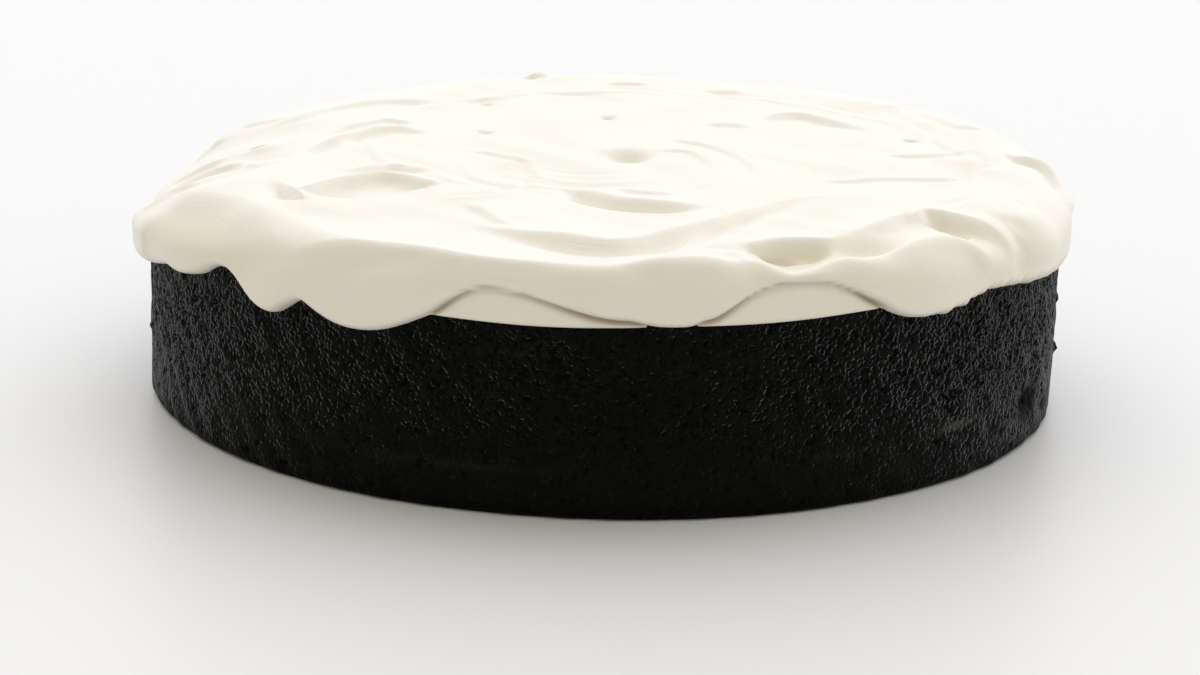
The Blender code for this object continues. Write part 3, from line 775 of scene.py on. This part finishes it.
def combing(x, y):
    """Distance across and along the nearest stroke, and how strongly its fine lines show."""
    nearest = np.full(x.shape, np.inf)
    second = np.full(x.shape, np.inf)
    across = np.zeros(x.shape)
    along = np.zeros(x.shape)
    fading = np.zeros(x.shape)
    for number, ledge in enumerate(ALL_LEDGES):
        signed, run, left = beside(x, y, ledge.path)
        gap = np.abs(signed)
        closer = gap < nearest
        second = np.where(closer, nearest, np.minimum(second, gap))
        nearest = np.where(closer, gap, nearest)
        across = np.where(closer, signed + number * COMB_SHIFT, across)
        along = np.where(closer, run, along)
        fading = np.where(closer, smooth(run / COMB_FADE) * smooth(left / COMB_FADE), fading)
    parted = smooth((second - nearest - COMB_BARE) / COMB_PARTING)
    return across, along, fading * parted * smooth(COMB_EDGE - nearest / COMB_REACH)


def store(piece, name, values):
    """Keeps one number for each point of a mesh, for its material to read."""
    layer = piece.data.attributes.new(name, "FLOAT", "POINT")
    layer.data.foreach_set("value", np.asarray(values, np.float32))


across, along, combed = combing(places[:, 0], places[:, 1])
# painted shade: how deep each point lies in a hollow, and how near it lies under the lip, for darkening its
# colour
hollow = smooth((-relief(places[:, 0], places[:, 1]) - HOLLOW_SHADE_START) / (HOLLOW_SHADE_FULL - HOLLOW_SHADE_START))
angle = np.degrees(np.arctan2(points[:, 0], -points[:, 1]))
below = frayed_lip(angle) - points[:, 2]
window = frayed_lip(angle) - coat_height(angle)
soft = 1.0 - CREASE_SHADE_LOSS * smooth((window - WINDOW_LOW) / CREASE_SHADE_ENDS)
shade = np.exp(-((below / np.where(below > 0, CREASE_SHADE, CREASE_SHADE_CRISP)) ** 2))
crease_shade_mask = shade * smooth(window / WINDOW_START) * soft
store(frosting, "across", across)
store(frosting, "along", along)
store(frosting, "combed", combed)
store(frosting, "hollow", hollow)
store(frosting, "crease_shade_mask", crease_shade_mask)
print("combed on average", round(float(combed.mean()), 2), "hollow", round(float(hollow.mean()), 3))

# %% [markdown]
# ## The sponge's wall
#
# A dark sponge baked against a tin has a fine open crumb: thousands of shallow pores, denser high
# up, smoother and almost skinned over low down. Random bumps in the material would not break its
# outline or catch light at the edges. So each pore is pressed into a fine mesh as a small oval
# dent, and the material adds only what is finer still.

# %% Sponge mesh
WALL_SIDES = 1150
FOOT_ROUND = 2.2
FOOT_ROWS = 4
EDGE_ROWS = 6
WALL_ROWS = 72
PORES = 12000
PORE_SIZE = (0.36, 0.44)  # the smallest radius, and how much larger the largest is
PORE_REACH = 1.5
PORE_BIAS = 2.4  # most pores are small
PORE_STRETCH = (0.75, 1.35)
PORE_DEPTH = 0.9  # against the pore's radius
PORE_BOWL = 0.6  # a smaller power gives steeper sides
PORES_FROM = 1.0  # the height of the lowest, and
PORES_RISE = 48.0  # how much higher the highest is
TORN_PLACES = ((58.0, 1.0), (-74.0, 0.7))  # where the wall is torn open: an angle and how strongly
TORN_SPREAD = 17.0
SKIN_TO = 8.0  # the lowest part of the wall has a smoother skin up to here,
SKIN_FADE = 20.0  # and is fully open this much higher
OPEN_LOW = 0.18
OPEN_UPPER = 0.30
OPEN_TORN = 0.55
random = np.random.default_rng(23)


def openness(angle, height):
    """How open the crumb is: more so high up and where it is torn."""
    torn = sum(much * np.exp(-(((angle - place) / TORN_SPREAD) ** 2)) for place, much in TORN_PLACES)
    upper = smooth((height - SKIN_TO) / SKIN_FADE)
    return np.clip(OPEN_LOW + OPEN_UPPER * upper + OPEN_TORN * torn * (0.25 + upper), 0.0, 1.0)


def pore_field(angles, heights):
    """Depth of the pores over the wall, pressed in one by one."""
    depth = np.zeros((len(heights), len(angles)))
    around = math.radians(angles[1] - angles[0]) * TIN_RADIUS
    for _ in range(PORES):
        angle = random.uniform(-180.0, 180.0)
        height = PORES_FROM + PORES_RISE * random.random()
        size = PORE_SIZE[0] + PORE_SIZE[1] * random.random() ** PORE_BIAS
        stretch = random.uniform(*PORE_STRETCH)
        tilt = random.uniform(0.0, math.pi)
        if random.random() > openness(angle, height):
            continue
        rows = np.nonzero(np.abs(heights - height) < size * PORE_REACH)[0]
        if len(rows) == 0:
            continue
        column = int(round((angle - angles[0]) / (angles[1] - angles[0])))
        width = int(math.ceil(size * PORE_REACH / around))
        columns = np.arange(column - width, column + width + 1)
        dx = (columns - column)[None, :] * around
        dz = (heights[rows] - height)[:, None]
        along = (dx * math.cos(tilt) + dz * math.sin(tilt)) / (size * stretch)
        across = (dz * math.cos(tilt) - dx * math.sin(tilt)) / (size / stretch)
        bowl = np.clip(1.0 - (along**2 + across**2), 0.0, None) ** PORE_BOWL
        pit = size * PORE_DEPTH * bowl
        cells = np.ix_(rows, columns % len(angles))
        depth[cells] = np.maximum(depth[cells], pit)
    return depth


print(PORES, "pores, from", PORE_SIZE[0], "to", round(sum(PORE_SIZE), 2), "mm in radius")

# %% [markdown]
# Some marks of this one cake are its own: two larger holes low on the right, a crumb that stands
# off beside them, a smear of frosting, a few pale streaks where it rubbed against the tin, and a
# wall that is never quite even.

# %% Marks of its own
Spot = namedtuple("Spot", "angle height wide tall much")
HOLES_AND_CRUMBS = (
    Spot(65.5, 11.2, 5.2, 3.1, -2.6),
    Spot(74.2, 6.5, 3.2, 1.5, -1.4),
    Spot(82.5, 16.5, 1.2, 1.2, 1.5),
    Spot(79.0, 31.0, 1.0, 1.3, 0.9),
    Spot(-79.0, 18.0, 1.2, 1.0, 0.8),
)
PALE_SPOTS = (
    Spot(47.2, 14.2, 6.0, 0.9, 1.9),
    Spot(-9.2, 38.8, 9.0, 0.7, 0.16),
    Spot(-16.8, 11.2, 22.0, 1.2, 0.12),
    Spot(30.0, 12.8, 11.0, 1.0, 0.12),
    Spot(-52.0, 24.0, 5.0, 0.8, 0.10),
)
UNEVEN = 0.22
# painted shade: the colour darkens towards the foot over about this height
FOOT_SHADE = 3.0


def spots(angle, height, table):
    """Sum of soft oval spots on the wall, their sizes in millimetres."""
    total = np.zeros(np.shape(height))
    for spot in table:
        dx = np.radians(wrapped(angle - spot.angle)) * TIN_RADIUS / spot.wide
        dz = (height - spot.height) / spot.tall
        total = total + spot.much * np.exp(-(dx**2 + dz**2))
    return total


def unevenness(angle, height):
    """Low lumps of the wall, from a few crossed waves."""
    turn = np.radians(angle)
    columns = np.sin(31.0 * turn + 2.2 * np.sin(height / 7.0))
    lumps = columns * np.sin(height / 3.1 + 1.9 * np.sin(17.0 * turn))
    return UNEVEN * (lumps + 0.6 * np.sin(67.0 * turn + height / 2.3))


def sponge_rings(angles):
    """Inset and height of the sponge's wall, ring by ring from the foot up, each at every angle."""
    reach, fall = edge_round(angles)
    insets = []
    heights = []
    for turn in np.linspace(0.0, math.pi / 2, FOOT_ROWS + 1):
        insets.append(np.full(len(angles), FOOT_ROUND * (1 - math.sin(turn))))
        heights.append(np.full(len(angles), FOOT_ROUND * (1 - math.cos(turn))))
    for share in np.linspace(0.0, 1.0, WALL_ROWS + 1)[1:-1]:
        insets.append(np.zeros(len(angles)))
        heights.append(FOOT_ROUND + share * (SPONGE_HEIGHT - fall - FOOT_ROUND))
    for turn in np.linspace(0.0, math.pi / 2, EDGE_ROWS + 1):
        insets.append(reach * (1 - math.cos(turn)))
        heights.append(SPONGE_HEIGHT - fall * (1 - math.sin(turn)))
    return np.array(insets), np.array(heights)


def sponge_skin():
    """Vertices and faces of the sponge with its pores, and the depth of the pore at each vertex."""
    angles = np.arange(WALL_SIDES) * 360.0 / WALL_SIDES - 180.0
    compass = np.radians(angles)
    insets, heights = sponge_rings(angles)
    depth = pore_field(angles, heights.mean(axis=1))
    depth[:2] = 0.0
    shape = spots(angles, heights, HOLES_AND_CRUMBS) + unevenness(angles, heights)
    shape[:2] = 0.0
    out = sponge_radius(angles, heights) - insets - depth + shape
    depth = depth + np.clip(-spots(angles, heights, HOLES_AND_CRUMBS), 0.0, None)
    points = np.stack([out * np.sin(compass), -out * np.cos(compass), heights], axis=-1).reshape(-1, 3)
    quads = []
    for row in range(len(heights) - 1):
        low = row * WALL_SIDES + np.arange(WALL_SIDES)
        high = low + WALL_SIDES
        quads.append(np.stack([low, np.roll(low, -1), np.roll(high, -1), high], axis=-1))
    bottom = np.arange(WALL_SIDES)[::-1]
    top = len(points) - WALL_SIDES + np.arange(WALL_SIDES)
    return points, np.vstack(quads), [bottom, top], depth.reshape(-1)


points, quads, caps, pits = sponge_skin()
sponge = mesh_piece("sponge_crumb", points, quads, caps)
angle = np.degrees(np.arctan2(points[:, 0], -points[:, 1]))
# painted shade: the depth of each pore and hole, and nearness to the foot, are kept for darkening the colour
store(sponge, "pit", pits)
store(sponge, "pale", spots(angle, points[:, 2], PALE_SPOTS))
store(sponge, "open", openness(angle, points[:, 2]))
store(sponge, "foot", np.exp(-((points[:, 2] / FOOT_SHADE) ** 2)))
print("sponge", len(points), "points", len(quads), "faces")

# %% [markdown]
# ## White frosting
#
# Butter and cream cheese frosting is a little glossy, lets light in by a millimetre or so and is
# warm white. Its gloss varies from patch to patch. The fine lines along the strokes are a one-way
# noise, stretched along each stroke and faded by the stored strength. A plain noise would look like
# plaster.

# %% Frosting material
CREAM = (0.925, 0.895, 0.80)
CREAM_WARM = (0.905, 0.868, 0.755)
# painted shade: the colour that hollows are darkened and yellowed towards, and how far
PAINTED_HOLLOW_SHADE = (0.83, 0.75, 0.57)
HOLLOW_SHADE_SHARE = 0.75
# painted shade: the dark colour of the crease under the lip, and how much of it shows
PAINTED_CREASE_SHADE = (0.38, 0.30, 0.19)
CREASE_SHADE_SHARE = 0.8
LINES_EACH_MM = 0.85
LINE_STRETCH = 0.035
LINE_DEPTH = 0.00022
LINE_PATCHES = (0.42, 0.62)  # lines show where the patches lie between these
GRAIN_DEPTH = 0.00006
GRAIN_SCALE = 420.0
PATCH_SCALE = 34.0
GLOSS = (0.24, 0.46)  # roughness from patch to patch
GLOSS_LEVEL = 0.35
SOFT_SHARE = 0.25  # the share of light that goes in, how its colours spread,
SOFT_SPREAD = (1.0, 0.85, 0.6)
SOFT_REACH = 0.0009  # and how far


def new_finish(name):
    """A material with an empty node tree, with short calls to add and to join nodes."""
    material = bpy.data.materials.new(name)
    material.use_nodes = True
    add, join = new_nodes(material.node_tree)
    shader = add("ShaderNodeBsdfPrincipled")
    output = add("ShaderNodeOutputMaterial")
    join(shader.outputs["BSDF"], output.inputs["Surface"])
    return material, shader, add, join


def noise(add, join, vector, scale, detail):
    """A noise texture read at a vector."""
    made = add("ShaderNodeTexNoise")
    made.inputs["Scale"].default_value = scale
    made.inputs["Detail"].default_value = detail
    join(vector, made.inputs["Vector"])
    return made.outputs["Fac"]


def stored(add, name):
    """A number kept on the mesh."""
    return add("ShaderNodeAttribute", attribute_name=name).outputs["Fac"]


def maths(add, join, operation, first, second):
    """One sum of two sockets, or of a socket and a number."""
    made = add("ShaderNodeMath", operation=operation)
    join(first, made.inputs[0])
    if isinstance(second, float):
        made.inputs[1].default_value = second
    else:
        join(second, made.inputs[1])
    return made.outputs["Value"]


def mixed(add, join, factor, first, second):
    """A colour between two, each a colour or a socket."""
    made = add("ShaderNodeMix", data_type="RGBA")
    for name, value in (("A", first), ("B", second)):
        if isinstance(value, tuple):
            made.inputs[name].default_value = (*value, 1.0)
        else:
            join(value, made.inputs[name])
    join(factor, made.inputs["Factor"])
    return made.outputs["Result"]


def ranged(add, join, value, low, high):
    """A value between 0 and 1 spread over another range."""
    made = add("ShaderNodeMapRange")
    made.inputs["To Min"].default_value = low
    made.inputs["To Max"].default_value = high
    join(value, made.inputs["Value"])
    return made.outputs["Result"]


cream, shader, add, join = new_finish("white_frosting")
place = add("ShaderNodeTexCoord").outputs["Object"]
patches = noise(add, join, place, PATCH_SCALE, 3.0)
tint = mixed(add, join, patches, CREAM, CREAM_WARM)
# painted shade: hollows and the crease under the lip are mixed towards darker, yellower colours
hollow_shade_amount = maths(add, join, "MULTIPLY", stored(add, "hollow"), HOLLOW_SHADE_SHARE)
tint = mixed(add, join, hollow_shade_amount, tint, PAINTED_HOLLOW_SHADE)
crease_shade_amount = maths(add, join, "MULTIPLY", stored(add, "crease_shade_mask"), CREASE_SHADE_SHARE)
tint = mixed(add, join, crease_shade_amount, tint, PAINTED_CREASE_SHADE)
join(tint, shader.inputs["Base Color"])
join(ranged(add, join, patches, *GLOSS), shader.inputs["Roughness"])
shader.inputs["Specular IOR Level"].default_value = GLOSS_LEVEL
shader.inputs["Subsurface Weight"].default_value = SOFT_SHARE
shader.inputs["Subsurface Radius"].default_value = SOFT_SPREAD
shader.inputs["Subsurface Scale"].default_value = SOFT_REACH

lines = add("ShaderNodeCombineXYZ")
join(maths(add, join, "MULTIPLY", stored(add, "across"), LINES_EACH_MM), lines.inputs["X"])
join(maths(add, join, "MULTIPLY", stored(add, "along"), LINE_STRETCH), lines.inputs["Y"])
combs = noise(add, join, lines.outputs["Vector"], 1.0, 2.0)
combs = maths(add, join, "SUBTRACT", combs, 0.5)
combs = maths(add, join, "MULTIPLY", combs, stored(add, "combed"))
shown = add("ShaderNodeMapRange", interpolation_type="SMOOTHSTEP")
shown.inputs["From Min"].default_value = LINE_PATCHES[0]
shown.inputs["From Max"].default_value = LINE_PATCHES[1]
join(patches, shown.inputs["Value"])
combs = maths(add, join, "MULTIPLY", combs, shown.outputs["Result"])
line_bump = add("ShaderNodeBump")
line_bump.inputs["Distance"].default_value = LINE_DEPTH
join(combs, line_bump.inputs["Height"])
grain_bump = add("ShaderNodeBump")
grain_bump.inputs["Distance"].default_value = GRAIN_DEPTH
join(noise(add, join, place, GRAIN_SCALE, 2.0), grain_bump.inputs["Height"])
join(line_bump.outputs["Normal"], grain_bump.inputs["Normal"])
join(grain_bump.outputs["Normal"], shader.inputs["Normal"])
frosting.data.materials.append(cream)
print("frosting finish:", len(cream.node_tree.nodes), "nodes")

# %% [markdown]
# ## Dark sponge
#
# The crumb is nearly black with a trace of green grey, as a cake dark with cocoa looks in cool
# light. Its pores are painted darker still, as painted shade, and so is the foot; it is dull. At
# the sides the wall is seen at a slant, and there a faint bluish sheen lies over it, as on velvet.
# Fine grain in colour and bump fills in between the pores of the mesh.

# %% Sponge material
CRUMB_DARK = (0.0014, 0.0020, 0.0010)
CRUMB_LIGHT = (0.0062, 0.0080, 0.0050)
CRUMB_PALE = (0.050, 0.052, 0.046)
# painted shade: the colour that pores, holes and the foot are darkened towards
PORE_SHADE_COLOUR = (0.0003, 0.0005, 0.0002)
SHEEN_TINT = (0.86, 0.95, 1.0)
SHEEN = 0.52
SHEEN_SPREAD = 0.22
FINE_PORES = 800.0  # in a metre
PORE_EDGES = (0.62, 0.22)  # a fine pore starts and is full at these distances from its middle
WARP = 0.0012
WARP_SCALE = 700.0
CRUMB_SCALE = 560.0
LUMP_SCALE = 90.0
SPECK_SCALE = 1300.0
SPECK_FROM = 0.68
SPECK_SHARE = 0.18
PIT_SHADE = 1.6
FINE_PORE_SHADE = 1.5
DARKEST = 0.95
CRUMB_ROUGHNESS = 0.6
CRUMB_GLOSS = 0.06
CRUMB_DEPTH = 0.0006
FINE_DEPTH = 0.0009

crumb, shader, add, join = new_finish("dark_sponge")
place = add("ShaderNodeTexCoord").outputs["Object"]
grain = noise(add, join, place, CRUMB_SCALE, 4.0)
lumps = noise(add, join, place, LUMP_SCALE, 2.0)
specks = noise(add, join, place, SPECK_SCALE, 1.0)
cells = add("ShaderNodeTexVoronoi")
cells.inputs["Scale"].default_value = FINE_PORES
warp = add("ShaderNodeVectorMath", operation="MULTIPLY_ADD")
warp.inputs[1].default_value = (WARP, WARP, WARP)
shift = add("ShaderNodeTexNoise")
shift.inputs["Scale"].default_value = WARP_SCALE
join(place, shift.inputs["Vector"])
join(shift.outputs["Color"], warp.inputs[0])
join(place, warp.inputs[2])
join(warp.outputs["Vector"], cells.inputs["Vector"])
fine = add("ShaderNodeMapRange", interpolation_type="SMOOTHSTEP")
fine.inputs["From Min"].default_value = PORE_EDGES[0]
fine.inputs["From Max"].default_value = PORE_EDGES[1]
join(cells.outputs["Distance"], fine.inputs["Value"])
pores = maths(add, join, "MULTIPLY", fine.outputs["Result"], stored(add, "open"))
pores = maths(add, join, "MULTIPLY", pores, ranged(add, join, lumps, 0.1, 1.9))

tint = mixed(add, join, maths(add, join, "MULTIPLY", grain, lumps), CRUMB_DARK, CRUMB_LIGHT)
speckle = ranged(add, join, maths(add, join, "GREATER_THAN", specks, SPECK_FROM), 0.0, SPECK_SHARE)
tint = mixed(add, join, speckle, tint, CRUMB_PALE)
rubbed = maths(add, join, "MULTIPLY", stored(add, "pale"), ranged(add, join, grain, 0.2, 1.4))
tint = mixed(add, join, rubbed, tint, CRUMB_PALE)
# painted shade: pits, fine pores and the foot darken the colour and take away the sheen
pore_and_foot_shade = maths(add, join, "MULTIPLY", stored(add, "pit"), PIT_SHADE)
pore_and_foot_shade = maths(add, join, "ADD", pore_and_foot_shade, stored(add, "foot"))
pore_and_foot_shade = maths(add, join, "ADD", pore_and_foot_shade, maths(add, join, "MULTIPLY", pores, FINE_PORE_SHADE))
pore_and_foot_shade = maths(add, join, "MINIMUM", pore_and_foot_shade, DARKEST)
tint = mixed(add, join, pore_and_foot_shade, tint, PORE_SHADE_COLOUR)
join(tint, shader.inputs["Base Color"])
shader.inputs["Roughness"].default_value = CRUMB_ROUGHNESS
shader.inputs["Specular IOR Level"].default_value = CRUMB_GLOSS
shader.inputs["Sheen Tint"].default_value = (*SHEEN_TINT, 1.0)
shader.inputs["Sheen Roughness"].default_value = SHEEN_SPREAD
join(ranged(add, join, pore_and_foot_shade, SHEEN, 0.0), shader.inputs["Sheen Weight"])
grain_bump = add("ShaderNodeBump")
grain_bump.inputs["Distance"].default_value = CRUMB_DEPTH
join(grain, grain_bump.inputs["Height"])
pore_bump = add("ShaderNodeBump", invert=True)
pore_bump.inputs["Distance"].default_value = FINE_DEPTH
join(pores, pore_bump.inputs["Height"])
join(grain_bump.outputs["Normal"], pore_bump.inputs["Normal"])
join(pore_bump.outputs["Normal"], shader.inputs["Normal"])
sponge.data.materials.append(crumb)
print("sponge finish:", len(crumb.node_tree.nodes), "nodes")

# %% [markdown]
# ## Hand over
#
# Each piece takes the place of the solid that it dresses.

# %% Hand over
for piece, node in ((frosting, "frosting"), (sponge, "sponge")):
    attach(piece, "root")
    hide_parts(node)
